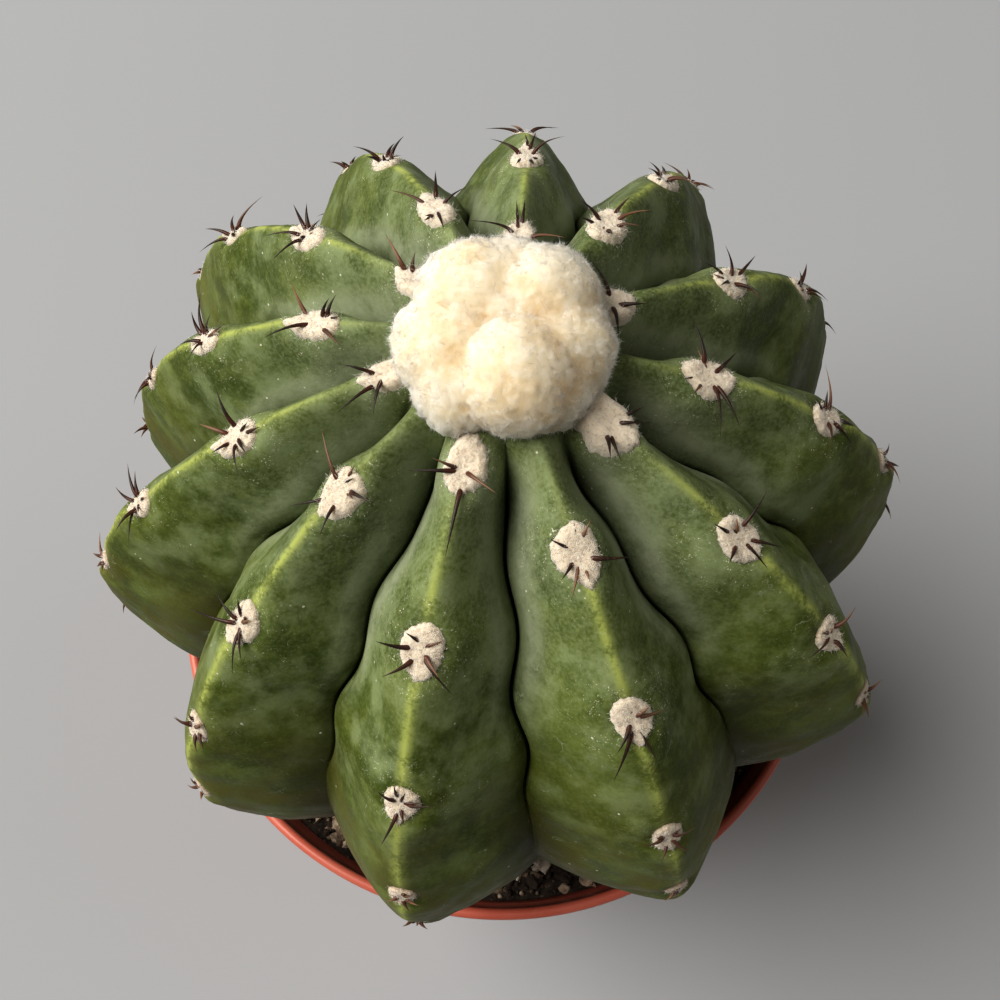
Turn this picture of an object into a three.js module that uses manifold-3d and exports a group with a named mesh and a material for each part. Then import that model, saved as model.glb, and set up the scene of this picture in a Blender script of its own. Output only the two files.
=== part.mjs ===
import * as THREE from 'three';
import { mergeVertices } from 'three/addons/utils/BufferGeometryUtils.js';
import Module from 'manifold-3d';

// A melocactus in a nursery pot: a globe of twelve ribs with felt areoles and short
// spines, a cap of cream wool on its crown, and the soil that its root stands in.
// Millimetres, +Z up. The origin is the middle of the pot's underside.

// Clearance between neighbouring pieces
const gap = 0.35;

// Pot: a tapered wall, and a wider band round the rim with a rounded lip
const potHeight = 115;
const potRimRadius = 65.3;
const potFootRadius = 45;
const potWall = 1.5;
const footRound = 2;
const rimBand = 17;
const rimStep = 2.6;
const rimTaper = 2.4;
const lipWidth = 2.1;
const lipRound = 1;
const potSides = 48;
const drainHoles = 8;
const drainRadius = 4;
const drainCircle = 33;

// Soil: level beside the root and rough further out
const soilBelowRim = 9;
const soilRelief = 0.7;
const soilLevelWidth = 3;
const soilRoughFrom = 8;

// Body: its widest level stands above the rim, and the height above and below it differs
const equatorAboveRim = 37.6;
const bodyRadius = 68;
const crownHeight = 67.4;
const baseDepth = 70;
const sideRoundness = 1.77;
const topRoundness = 1.96;

// Ribs: where each stands in degrees round the plant, how it drifts aside on its way down, how much
// lower its areoles start, in degrees down the plant, and how far it and the groove after it stand
// out past the others
const ribAzimuths = [-105.3, -69.2, -34.4, -1.2, 27.7, 57.4, 85.4, 113.5, 140.4, 165.7, 191.8, 221.5];
const ribSweeps = [0.067, 0.067, 0.1, 0.087, 0.067, 0.037, 0.067, 0.107, 0.067, -0.01, -0.03, 0.067];
const ribStarts = [0, -0.4, -0.4, -0.4, -1.2, -1.8, 0.6, -1.8, -1.7, -1.2, -1.4, -0.3];
const ribReach = [0, 0, 0, -1.8, -2.2, 0, 0, 0, 1.5, -3, 0, -0.6];
const grooveReach = [0, 0, -0.9, -1.4, -0.8, 0, 0, 0.7, -1, -6, -2.8, -0.3];
const ribDepth = 12.5;
const ribDepthAtEquator = 11;
const ribWaist = 1.3;
const grooveFrom = 9;
const grooveFullFrom = 23;
const grooveFadeBelow = 18;
const plumpAbove = 48;
const flatBelow = 74;
const footBelow = 32;
const footRadius = 46;
const rootPoints = [[30, 13], [12, 26], [8, 42]];
const rootDepth = 46;

// Areoles: degrees down the rib from the crown
const firstAreole = 17;
const areoleStep = 9.7;
const areoleCount = 10;
const rowStep = areoleStep / 2;
const wideRowsFrom = 105;
const evenRowsFrom = 125;
const notchDepth = 0.7;
const cushionSize = { across: 3.1, along: 4.2, high: 2.1, sunk: 0.6 };
const wornFrom = 8;
const wornScale = 0.75;

// Spines
const spineLength = 6.8;
const spineThickness = 0.9;
const spineRoot = 1.6;

// Wool cap: a middle mass and lobes round it, whose lift is the height of their centres
const capRadius = 14.2;
const capSeat = 64.8;
const capMiddle = { radius: 12, belly: 2, height: 10.6 };
const capLobes = [
  { x: 1.2, y: -5.9, radius: 7.7, lift: 4.4 },
  { x: -6.6, y: -1, radius: 7.4, lift: 2.8 },
  { x: -4, y: 5.6, radius: 7.3, lift: 3.2 },
  { x: 0.6, y: 7, radius: 6.8, lift: 2.4 },
  { x: 4.8, y: 4.8, radius: 7.4, lift: 3.4 },
  { x: 7, y: -1.2, radius: 7, lift: 2.4 },
  { x: -4.8, y: -5.4, radius: 6.9, lift: 1.4 },
  { x: 5.7, y: -5.3, radius: 6.3, lift: 1.2 },
];

const equator = potHeight + equatorAboveRim;
const soilTop = potHeight - soilBelowRim;
const rad = THREE.MathUtils.degToRad;
const { lerp, smoothstep } = THREE.MathUtils;

const wasm = await Module();
wasm.setup();

const materials = {
  plastic: new THREE.MeshStandardMaterial({ color: 0xb8472f, roughness: 0.5 }),
  soil: new THREE.MeshStandardMaterial({ color: 0x2e2620, roughness: 1 }),
  skin: new THREE.MeshStandardMaterial({ color: 0x4c6a3c, roughness: 0.55 }),
  wool: new THREE.MeshStandardMaterial({ color: 0xf2e6cd, roughness: 1 }),
};

function makeRandom(seed) {
  let state = seed;
  return (low, high) => {
    state = (state * 1664525 + 1013904223) % 4294967296;
    return lerp(low, high, state / 4294967296);
  };
}

// A closed three.js surface as a solid, without the flat faces that meeting points leave
function toSolid(geometry) {
  const bare = geometry.clone();
  bare.deleteAttribute('normal');
  bare.deleteAttribute('uv');
  const merged = mergeVertices(bare, 1e-4);
  const corners = [];
  const index = merged.index.array;
  for (let i = 0; i < index.length; i += 3) {
    const [a, b, c] = index.subarray(i, i + 3);
    if (a !== b && b !== c && c !== a) corners.push(a, b, c);
  }
  const mesh = new wasm.Mesh({
    numProp: 3,
    vertProperties: new Float32Array(merged.attributes.position.array),
    triVerts: new Uint32Array(corners),
  });
  return new wasm.Manifold(mesh);
}

function toMesh(name, solid, material) {
  const { vertProperties, triVerts } = solid.getMesh();
  const geometry = new THREE.BufferGeometry();
  geometry.setAttribute('position', new THREE.BufferAttribute(vertProperties, 3));
  geometry.setIndex(new THREE.BufferAttribute(triVerts, 1));
  geometry.computeVertexNormals();
  const mesh = new THREE.Mesh(geometry, material);
  mesh.name = name;
  return mesh;
}

// A lathe turned about +Z from a profile of [radius, height] points
function turned(profile, sides) {
  const points = profile.map(([radius, height]) => new THREE.Vector2(radius, height));
  return new THREE.LatheGeometry(points, sides).rotateX(Math.PI / 2);
}

// A globe of rows and columns whose points are put in place by a rule
function ruledGlobe(columns, rows, place) {
  const geometry = new THREE.SphereGeometry(1, columns, rows);
  const { position, uv } = geometry.attributes;
  for (let i = 0; i < position.count; i += 1) {
    const row = Math.round((1 - uv.getY(i)) * rows);
    const column = Math.round(uv.getX(i) * columns) % columns;
    const point = place(column, row);
    position.setXYZ(i, point.x, point.y, point.z);
  }
  return geometry;
}

// The crest line of a rib as radius and height above the equator
function crestAt(t) {
  const side = Math.abs(Math.sin(rad(t)));
  const rise = Math.cos(rad(t));
  const reach = rise > 0 ? crownHeight : baseDepth;
  const height = Math.sign(rise) * reach * Math.abs(rise) ** (2 / topRoundness);
  return new THREE.Vector2(bodyRadius * side ** (2 / sideRoundness), height);
}

function crestNormalAt(t) {
  const along = crestAt(t + 0.5).sub(crestAt(t - 0.5)).normalize();
  return new THREE.Vector2(-along.y, along.x);
}

function crestAzimuth(rib, t) {
  const turns = Math.floor(rib / ribAzimuths.length);
  const own = rib - turns * ribAzimuths.length;
  return ribAzimuths[own] + 360 * turns + ribSweeps[own] * (t - 45);
}

// The groove after a rib swings aside, so that a rib is widest at its own areoles
function grooveAzimuth(rib, t) {
  const between = (crestAzimuth(rib, t) + crestAzimuth(rib + 1, t)) / 2;
  const phase = Math.cos((Math.PI * (t - firstAreole)) / areoleStep);
  const swing = smoothstep(t, 10, 30) * (1 - smoothstep(t, 45, 80));
  const ownAreoles = Math.abs(rib) % 2 === 0 ? 1 : -1;
  return between + ownAreoles * ribWaist * phase * swing;
}

function skinAzimuth(rib, side, t) {
  const groove = side < 0 ? grooveAzimuth(rib - 1, t) : grooveAzimuth(rib, t);
  return rad(lerp(crestAzimuth(rib, t), groove, Math.abs(side)));
}

// Depth of the groove below the crest: none under the cap, none where the foot enters the soil
function grooveDepth(t) {
  const crest = crestAt(t);
  const depth = lerp(ribDepth, ribDepthAtEquator, smoothstep(t, 55, 90));
  const opened = smoothstep(crest.x, grooveFrom, grooveFullFrom);
  return depth * opened * smoothstep(crest.y, soilTop - equator, -grooveFadeBelow);
}

// Share of the groove's depth on a flank: plump above, with a narrow groove, and flat lower down
function flankShare(side, t) {
  const far = Math.abs(side);
  const plump = 0.55 * far + 0.45 * far ** 3;
  return lerp(plump, far, smoothstep(t, plumpAbove, flatBelow));
}

// How far the skin stands out past the others, from what its rib and the groove beside it have
function reachAt(rib, side) {
  const groove = side < 0 ? (rib + grooveReach.length - 1) % grooveReach.length : rib;
  return lerp(ribReach[rib], grooveReach[groove], Math.abs(side));
}

// The angle of a row of points on one rib, which follows that rib's areoles and meets the
// neighbour's row at their groove
function ownAngle(rib, side, t) {
  const neighbour = (rib + Math.sign(side) + ribStarts.length) % ribStarts.length;
  const start = lerp(ribStarts[rib], (ribStarts[rib] + ribStarts[neighbour]) / 2, Math.abs(side));
  return t + start * (1 - smoothstep(t, wideRowsFrom, evenRowsFrom));
}

function notchAt(rib, t) {
  const first = firstAreole + (rib % 2) * areoleStep;
  const nearest = Math.max(0, Math.round((t - first) / (2 * areoleStep)));
  const away = (t - first - nearest * 2 * areoleStep) / rowStep;
  return notchDepth * Math.max(0, 1 - Math.abs(away));
}

// A point on the skin: side runs from -1 at one groove over 0 at the crest to 1 at the next
function skinAt(rib, side, t) {
  const own = ownAngle(rib, side, t);
  const crest = crestAt(own);
  const normal = crestNormalAt(own);
  const notch = notchAt(rib, t) * Math.max(0, 1 - 2 * Math.abs(side));
  const sunk = grooveDepth(own) * flankShare(side, own) + notch;
  const reach = reachAt(rib, side) * Math.sin(rad(own)) ** 2;
  const toFoot = smoothstep(-crest.y, footBelow, equator - soilTop);
  const radius = lerp(crest.x + reach - sunk * normal.x, footRadius, toFoot);
  const height = crest.y - sunk * normal.y;
  const azimuth = skinAzimuth(rib, side, own);
  return new THREE.Vector3(radius * Math.cos(azimuth), radius * Math.sin(azimuth), equator + height);
}

// The angles of the rows down the skin: one at each areole and between, and wider ones low down
function skinAngles() {
  const angles = [];
  let angle = firstAreole % rowStep;
  while (angle < 90 || crestAt(angle).y > soilTop - equator) {
    angles.push(angle);
    angle += angle < wideRowsFrom ? rowStep : 2 * rowStep;
  }
  return angles;
}

function makeGlobe() {
  const sides = [-1, -0.86, -0.45, 0, 0.45, 0.86];
  const angles = skinAngles();
  const lowest = angles.at(-1);
  const root = [[footRadius, 0], ...rootPoints];
  const columns = sides.length * ribAzimuths.length;
  const rows = angles.length + root.length + 1;
  return toSolid(ruledGlobe(columns, rows, (column, row) => {
    const rib = Math.floor(column / sides.length);
    const side = sides[column % sides.length];
    if (row === 0) return new THREE.Vector3(0, 0, equator + crownHeight);
    if (row === rows) return new THREE.Vector3(0, 0, soilTop - rootDepth);
    if (row <= angles.length) return skinAt(rib, side, angles[row - 1]);
    const [radius, depth] = root[row - angles.length - 1];
    const azimuth = skinAzimuth(rib, side, lowest);
    return new THREE.Vector3(radius * Math.cos(azimuth), radius * Math.sin(azimuth), soilTop - depth);
  }));
}

// The frame of an areole on its rib: out of the skin, down the rib, and sideways
function areoleFrame(rib, t) {
  const own = ownAngle(rib, 0, t);
  const azimuth = rad(crestAzimuth(rib, own));
  const normal = crestNormalAt(own);
  const out = new THREE.Vector3(normal.x * Math.cos(azimuth), normal.x * Math.sin(azimuth), normal.y);
  const side = new THREE.Vector3(-Math.sin(azimuth), Math.cos(azimuth), 0);
  const down = side.clone().cross(out);
  return { out, side, down, middle: skinAt(rib, 0, t) };
}

function makeCushion({ out, side, down, middle }, scale) {
  const { across, along, high, sunk } = cushionSize;
  const shape = new THREE.SphereGeometry(1, 6, 4).rotateX(Math.PI / 2);
  shape.scale(along * scale, across * scale, high * scale);
  const seat = middle.clone().addScaledVector(out, -sunk * scale);
  const turn = new THREE.Matrix4().makeBasis(down, side, out).setPosition(seat);
  return toSolid(shape.applyMatrix4(turn));
}

// A three-sided needle that starts inside its cushion
function makeSpine({ out, side, down, middle }, around, lift, length, thickness) {
  const lean = down.clone().multiplyScalar(Math.cos(rad(around)));
  lean.addScaledVector(side, Math.sin(rad(around)));
  const axis = lean.clone().multiplyScalar(Math.cos(rad(lift))).addScaledVector(out, Math.sin(rad(lift)));
  const across = axis.clone().cross(side).normalize();
  const shape = new THREE.ConeGeometry(thickness / 2, length, 3, 1).translate(0, length / 2, 0);
  const start = middle.clone().addScaledVector(out, -spineRoot / 2).addScaledVector(lean, spineRoot / 2);
  const turn = new THREE.Matrix4().makeBasis(across, axis, across.clone().cross(axis)).setPosition(start);
  return toSolid(shape.applyMatrix4(turn));
}

// Spines spread round an areole: steeper on the crown, and short and few on the worn low ones
function spinesOf(frame, station, random) {
  const onCrown = station === 1;
  const worn = station >= wornFrom;
  const spread = onCrown ? [-75, -25, 25, 75] : [-125, -45, 50, 140];
  const around = station < 6 ? spread : spread.slice(0, worn ? 2 : 3);
  return around.map((angle) => {
    const lift = onCrown ? random(62, 72) : random(36, 52);
    const length = spineLength * (worn ? wornScale : 1) * random(0.8, 1.15);
    return makeSpine(frame, angle + random(-14, 14), lift, length, spineThickness);
  });
}

// Room for the cap on the crown, open upwards
function capClearance() {
  const base = equator + capSeat;
  const top = base + 2 * capMiddle.height;
  const wide = capRadius + gap;
  return toSolid(turned([[0, base], [wide, base], [wide, top], [0, top]], 36));
}

function makeBody() {
  const random = makeRandom(7);
  const grown = [makeGlobe()];
  ribAzimuths.forEach((_, rib) => {
    for (let station = 1 + (rib % 2); station <= areoleCount; station += 2) {
      const frame = areoleFrame(rib, firstAreole + (station - 1) * areoleStep);
      grown.push(makeCushion(frame, station >= wornFrom ? wornScale : 1));
      grown.push(...spinesOf(frame, station, random));
    }
  });
  const body = grown.reduce((whole, piece) => whole.add(piece)).subtract(capClearance());
  return toMesh('cactus_body', body, materials.skin);
}

// The cap: lobes of wool round a middle one, level underneath where it sits on the ribs
function makeCap() {
  const seat = equator + capSeat + gap;
  const { radius: wide, belly, height } = capMiddle;
  const middle = new THREE.SphereGeometry(1, 14, 9).rotateX(Math.PI / 2);
  middle.scale(wide, wide, height - belly).translate(0, 0, seat + belly);
  const lobes = capLobes.map(({ x, y, radius, lift }) => {
    return new THREE.SphereGeometry(radius, 12, 8).rotateX(Math.PI / 2).translate(x, y, seat + lift);
  });
  const under = turned([[0, seat - wide], [2 * wide, seat - wide], [2 * wide, seat], [0, seat]], 24);
  const wool = [middle, ...lobes].map(toSolid).reduce((whole, lobe) => whole.add(lobe));
  return toMesh('cephalium', wool.subtract(toSolid(under)), materials.wool);
}

const potProfile = {
  bandFoot: potHeight - rimBand,
  wallTop: potRimRadius - rimStep - rimTaper,
  bandBottom: potRimRadius - rimTaper,
};

function makePot() {
  const { bandFoot, wallTop, bandBottom } = potProfile;
  const outside = [
    [0, 0], [potFootRadius - footRound, 0], [potFootRadius, footRound], [wallTop, bandFoot],
    [bandBottom, bandFoot + potWall / 2], [potRimRadius - lipRound / 2, potHeight - 2 * lipRound],
    [potRimRadius, potHeight - lipRound], [potRimRadius - lipRound / 2, potHeight],
  ];
  const inside = [
    [potRimRadius - lipWidth + lipRound / 2, potHeight], [potRimRadius - lipWidth, potHeight - lipRound],
    [bandBottom - potWall, bandFoot + 2 * potWall], [wallTop - potWall, bandFoot + potWall],
    [potFootRadius - potWall, 1.5 * potWall], [potFootRadius - 2 * potWall, potWall], [0, potWall],
  ];
  const shell = turned([...outside, ...inside], potSides);
  const drains = Array.from({ length: drainHoles }, (_, i) => {
    const azimuth = rad((360 * i) / drainHoles);
    const hole = new THREE.CylinderGeometry(drainRadius, drainRadius, 8, 14).rotateX(Math.PI / 2);
    return hole.translate(drainCircle * Math.cos(azimuth), drainCircle * Math.sin(azimuth), 0);
  });
  const pot = drains.reduce((whole, hole) => whole.subtract(toSolid(hole)), toSolid(shell));
  return toMesh('pot', pot, materials.plastic);
}

// The soil fills the pot, with a rough top and a hole of the root's own shape
function makeSoil() {
  const { bandFoot, wallTop, bandBottom } = potProfile;
  const inWall = potWall + gap;
  const wallEdge = bandBottom - inWall;
  const rootEdge = footRadius + gap;
  const outline = [
    [0, inWall], [potFootRadius - 2 * potWall - gap, inWall], [potFootRadius - inWall, 1.5 * potWall + gap],
    [wallTop - inWall, bandFoot + potWall + gap], [wallEdge, bandFoot + 2 * potWall + gap],
  ];
  const top = [1, 0.75, 0.5, 0.25, 0].map((share) => [lerp(rootEdge, wallEdge, share), soilTop]);
  const hole = rootPoints.map(([radius, depth]) => [radius + gap, soilTop - depth - gap]);
  const geometry = turned([...outline, ...top, ...hole, [0, soilTop - rootDepth - gap]], potSides);
  const { position } = geometry.attributes;
  for (let i = 0; i < position.count; i += 1) {
    const [x, y, z] = [position.getX(i), position.getY(i), position.getZ(i)];
    const fromRoot = Math.hypot(x, y) - footRadius;
    const open = Math.abs(z - soilTop) < 0.01 ? smoothstep(fromRoot, soilLevelWidth, soilRoughFrom) : 0;
    const rough = Math.sin(x * 0.61 + y * 0.23) + Math.sin(y * 0.83 - x * 0.37) + Math.sin(x * 1.9 + y * 1.7);
    position.setZ(i, z + (open * soilRelief * rough) / 2);
  }
  return toMesh('soil', toSolid(geometry), materials.soil);
}

const group = new THREE.Group();
group.add(makePot(), makeSoil(), makeBody(), makeCap());

export default group;
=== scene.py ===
import math

import bmesh
import bpy
import numpy as np
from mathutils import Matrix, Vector, noise


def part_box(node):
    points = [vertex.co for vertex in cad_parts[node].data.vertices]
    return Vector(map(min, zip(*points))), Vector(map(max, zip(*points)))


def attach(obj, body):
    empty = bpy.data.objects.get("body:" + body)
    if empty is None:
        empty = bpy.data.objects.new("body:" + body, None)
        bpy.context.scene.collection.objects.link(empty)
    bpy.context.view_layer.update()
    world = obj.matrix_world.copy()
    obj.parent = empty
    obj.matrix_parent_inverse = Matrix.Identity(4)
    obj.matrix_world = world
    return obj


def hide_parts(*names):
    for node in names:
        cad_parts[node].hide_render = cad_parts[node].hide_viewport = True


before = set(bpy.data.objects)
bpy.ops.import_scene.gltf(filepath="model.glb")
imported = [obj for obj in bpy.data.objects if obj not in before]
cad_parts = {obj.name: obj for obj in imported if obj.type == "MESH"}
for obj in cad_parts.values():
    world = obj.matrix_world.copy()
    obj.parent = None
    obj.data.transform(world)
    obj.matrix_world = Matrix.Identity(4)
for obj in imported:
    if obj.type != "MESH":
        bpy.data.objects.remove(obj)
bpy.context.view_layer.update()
print("frame loaded")

mm = 0.001
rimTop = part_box("pot")[1].z / mm
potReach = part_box("pot")[1].x / mm
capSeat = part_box("cephalium")[0].z / mm
soilBelowRim = 9
soilTop = rimTop - soilBelowRim


# Mesh helpers. Points are in millimetres until they become a mesh.

def makeObject(name, points, faces, smooth=True):
    mesh = bpy.data.meshes.new(name)
    corners = faces if isinstance(faces, list) else faces.tolist()
    mesh.from_pydata((np.asarray(points, float) * mm).tolist(), [], corners)
    mesh.polygons.foreach_set("use_smooth", [smooth] * len(mesh.polygons))
    mesh.update()
    piece = bpy.data.objects.new(name, mesh)
    bpy.context.scene.collection.objects.link(piece)
    return piece


def setPointValue(piece, name, values):
    layer = piece.data.attributes.new(name, "FLOAT", "POINT")
    layer.data.foreach_set("value", np.asarray(values, np.float32).ravel())


def smoothStep(x, low, high):
    u = np.clip((np.asarray(x, float) - low) / (high - low), 0, 1)
    return u * u * (3 - 2 * u)


def bell(x, width):
    return np.exp(-(np.asarray(x, float) / width) ** 2)


def fieldNoise(points, size, seed=0):
    # one smooth random value from -1 to 1 for each point, at this grain in millimetres
    shift = Vector((seed * 7.3, seed * 3.1, seed * 5.7))
    return np.array([noise.noise(Vector(p) / size + shift) for p in points])


def gridFaces(rows, columns):
    # quads of a grid whose points run row by row, with its last column joined to the first
    row = np.arange(rows - 1)[:, None]
    column = np.arange(columns)[None, :]
    following = (column + 1) % columns
    corners = [row * columns + column, (row + 1) * columns + column,
               (row + 1) * columns + following, row * columns + following]
    return np.stack(np.broadcast_arrays(*corners), -1).reshape(-1, 4)


def closeEnds(points, faces, rows, columns, top, bottom):
    # fans to one point above the first row and one below the last
    count = rows * columns
    around = np.arange(columns)
    following = (around + 1) % columns
    last = (rows - 1) * columns
    topFan = [[count, a, b] for a, b in zip(around, following)]
    bottomFan = [[count + 1, last + b, last + a] for a, b in zip(around, following)]
    points = np.vstack([points, top, bottom])
    return points, faces.tolist() + topFan + bottomFan


def unit(vectors):
    return vectors / np.maximum(np.linalg.norm(vectors, axis=-1, keepdims=True), 1e-9)


def needles(roots, ways, lengths, widths, bends, sides=3, steps=2):
    # tapering needles: each starts at its root, runs along its way and leans over by its bend
    count = len(roots)
    helper = np.where(np.abs(ways[:, 2:3]) > 0.8, [[1.0, 0, 0]], [[0, 0, 1.0]])
    across = unit(np.cross(ways, helper))
    other = np.cross(ways, across)
    turn = np.arange(sides) * 2 * math.pi / sides
    rings = []
    for step in range(steps):
        u = step / steps
        middle = roots + ways * (lengths * u)[:, None] + bends * (lengths * u * u)[:, None]
        size = (widths * 0.5 * (1 - u ** 1.6))[:, None, None]
        spokes = (across[:, None, :] * np.cos(turn)[None, :, None]
                  + other[:, None, :] * np.sin(turn)[None, :, None])
        rings.append(middle[:, None, :] + spokes * size)
    tips = roots + ways * lengths[:, None] + bends * lengths[:, None]
    points = np.concatenate([*rings, tips[:, None, :]], axis=1)
    each = sides * steps + 1
    one = []
    for step in range(steps - 1):
        for k in range(sides):
            a, b = step * sides + k, step * sides + (k + 1) % sides
            one += [[a, b, b + sides], [a, b + sides, a + sides]]
    last = (steps - 1) * sides
    one += [[last + k, last + (k + 1) % sides, each - 1] for k in range(sides)]
    one += [[0, k + 1, k] for k in range(1, sides - 1)]
    faces = (np.array(one)[None] + (np.arange(count) * each)[:, None, None]).reshape(-1, 3)
    along = np.tile(np.r_[np.repeat(np.arange(steps) / steps, sides), 1.0], count)
    return points.reshape(-1, 3), faces, along, each


# Material helpers

class Finish:
    # a Principled material whose nodes are added one after another
    def __init__(self, name):
        self.material = bpy.data.materials.new(name)
        self.material.use_nodes = True
        self.nodes = self.material.node_tree.nodes
        self.links = self.material.node_tree.links
        self.shader = self.nodes["Principled BSDF"]
        self.coordinates = self.nodes.new("ShaderNodeTexCoord").outputs["Object"]

    def join(self, value, socket):
        if isinstance(value, bpy.types.NodeSocket):
            self.links.new(value, socket)
        elif isinstance(value, (tuple, list)) and len(value) == 3 and len(socket.default_value) == 4:
            socket.default_value = (*value, 1)
        else:
            socket.default_value = value

    def value(self, name):
        node = self.nodes.new("ShaderNodeAttribute")
        node.attribute_name = name
        return node.outputs["Fac"]

    def stretched(self, scale):
        node = self.nodes.new("ShaderNodeMapping")
        node.inputs["Scale"].default_value = scale
        self.links.new(self.coordinates, node.inputs["Vector"])
        return node.outputs["Vector"]

    def noise(self, size, detail=3, rough=0.55, where=None):
        node = self.nodes.new("ShaderNodeTexNoise")
        node.inputs["Scale"].default_value = 1 / (size * mm)
        node.inputs["Detail"].default_value = detail
        node.inputs["Roughness"].default_value = rough
        self.links.new(where or self.coordinates, node.inputs["Vector"])
        return node.outputs["Fac"]

    def waved(self, size, swing):
        # the place, pushed about by a noise of this grain
        grain = self.nodes.new("ShaderNodeTexNoise")
        grain.inputs["Scale"].default_value = 1 / (size * mm)
        self.links.new(self.coordinates, grain.inputs["Vector"])
        push = self.nodes.new("ShaderNodeVectorMath")
        push.operation = "MULTIPLY_ADD"
        push.inputs[1].default_value = (swing * mm, swing * mm, swing * mm)
        self.links.new(grain.outputs["Color"], push.inputs[0])
        self.links.new(self.coordinates, push.inputs[2])
        return push.outputs["Vector"]

    def cells(self, size, feature="F1", where=None):
        node = self.nodes.new("ShaderNodeTexVoronoi")
        node.feature = feature
        node.inputs["Scale"].default_value = 1 / (size * mm)
        self.links.new(where or self.coordinates, node.inputs["Vector"])
        return node.outputs["Distance"]

    def ramp(self, value, low, high, start=0.0, end=1.0):
        node = self.nodes.new("ShaderNodeMapRange")
        node.interpolation_type = "SMOOTHSTEP"
        for name, number in (("From Min", low), ("From Max", high), ("To Min", start), ("To Max", end)):
            node.inputs[name].default_value = number
        self.join(value, node.inputs["Value"])
        return node.outputs["Result"]

    def combined(self, kind, first, second):
        node = self.nodes.new("ShaderNodeMath")
        node.operation = kind
        self.join(first, node.inputs[0])
        self.join(second, node.inputs[1])
        return node

    def times(self, first, second):
        return self.combined("MULTIPLY", first, second).outputs[0]

    def plus(self, first, second):
        # the sum, no more than 1
        node = self.combined("ADD", first, second)
        node.use_clamp = True
        return node.outputs[0]

    def mix(self, amount, first, second):
        node = self.nodes.new("ShaderNodeMix")
        node.data_type = "RGBA"
        self.join(amount, node.inputs["Factor"])
        self.join(first, node.inputs[6])
        self.join(second, node.inputs[7])
        return node.outputs[2]

    def bump(self, height, strength, depth):
        node = self.nodes.new("ShaderNodeBump")
        node.inputs["Strength"].default_value = strength
        node.inputs["Distance"].default_value = depth * mm
        self.join(height, node.inputs["Height"])
        return node.outputs["Normal"]

    def done(self, colour, roughness, normal=None, **constants):
        self.join(colour, self.shader.inputs["Base Color"])
        self.join(roughness, self.shader.inputs["Roughness"])
        if normal:
            self.links.new(normal, self.shader.inputs["Normal"])
        for name, number in constants.items():
            self.shader.inputs[name].default_value = number
        return self.material


def finishPiece(piece, material, slot, *nodes):
    piece.data.materials.clear()
    piece.data.materials.append(material)
    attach(piece, "root")
    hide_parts(*nodes)


# Camera, floor and light

view = {
    "eye": (-0.5, -72.4, rimTop + 238.1),  # a close view from above the front
    "elevation": 69,
    "lens": 43.2,
    "sensor": 36,
}

stageLook = {
    "floorHalf": 3000,
    "floorDrop": 0.1,  # keeps the floor from touching the pot's foot
    "floorColour": (0.305, 0.313, 0.327),
    "skyColour": (0.97, 0.94, 0.83),
    "skyStrength": 0.14,
    "exposure": 0.2,
    "gamma": 0.87,
}

# in metres; the window is high at the left, and the weak fill at the right
lights = {
    "window": {"place": (-1.75, 0.12, 2.35), "target": (0, 0, 0.16), "size": 2.5, "energy": 146,
               "colour": (1, 0.97, 0.92)},
    "fill": {"place": (1.7, 0.15, 1.6), "target": (0, 0, 0.15), "size": 1.2, "energy": 6,
             "colour": (1, 0.98, 0.93)},
}


def makeCamera():
    camera = bpy.data.objects.new("camera", bpy.data.cameras.new("camera"))
    camera.data.lens = view["lens"]
    camera.data.sensor_width = view["sensor"]
    camera.data.clip_start = 0.01
    camera.location = Vector(view["eye"]) * mm
    camera.rotation_euler = (math.radians(90 - view["elevation"]), 0, 0)
    bpy.context.scene.collection.objects.link(camera)
    bpy.context.scene.camera = camera


def makeLight(name, kind):
    lamp = bpy.data.lights.new(name, "AREA")
    lamp.shape = "DISK"
    lamp.size = kind["size"]
    lamp.energy = kind["energy"]
    lamp.color = kind["colour"]
    light = bpy.data.objects.new(name, lamp)
    light.location = kind["place"]
    aim = Vector(kind["target"]) - Vector(kind["place"])
    light.rotation_euler = aim.to_track_quat("-Z", "Y").to_euler()
    bpy.context.scene.collection.objects.link(light)


def makeStage():
    half, low = stageLook["floorHalf"], -stageLook["floorDrop"]
    corners = [(-half, -half, low), (half, -half, low), (half, half, low), (-half, half, low)]
    floor = makeObject("floor", corners, [(0, 1, 2, 3)])
    paper = Finish("floor paper")
    floor.data.materials.append(paper.done(stageLook["floorColour"], 0.9))
    world = bpy.data.worlds.new("soft sky")
    world.use_nodes = True
    world.node_tree.nodes["Background"].inputs["Color"].default_value = (*stageLook["skyColour"], 1)
    world.node_tree.nodes["Background"].inputs["Strength"].default_value = stageLook["skyStrength"]
    bpy.context.scene.world = world
    display = bpy.context.scene.view_settings
    display.view_transform = "Standard"
    display.exposure = stageLook["exposure"]
    display.gamma = stageLook["gamma"]
    for name, kind in lights.items():
        makeLight(name, kind)


makeCamera()
makeStage()
print("camera and stage set")


# The plant's form. It is measured down the ribs by an angle t from the crown, in degrees.

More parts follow.
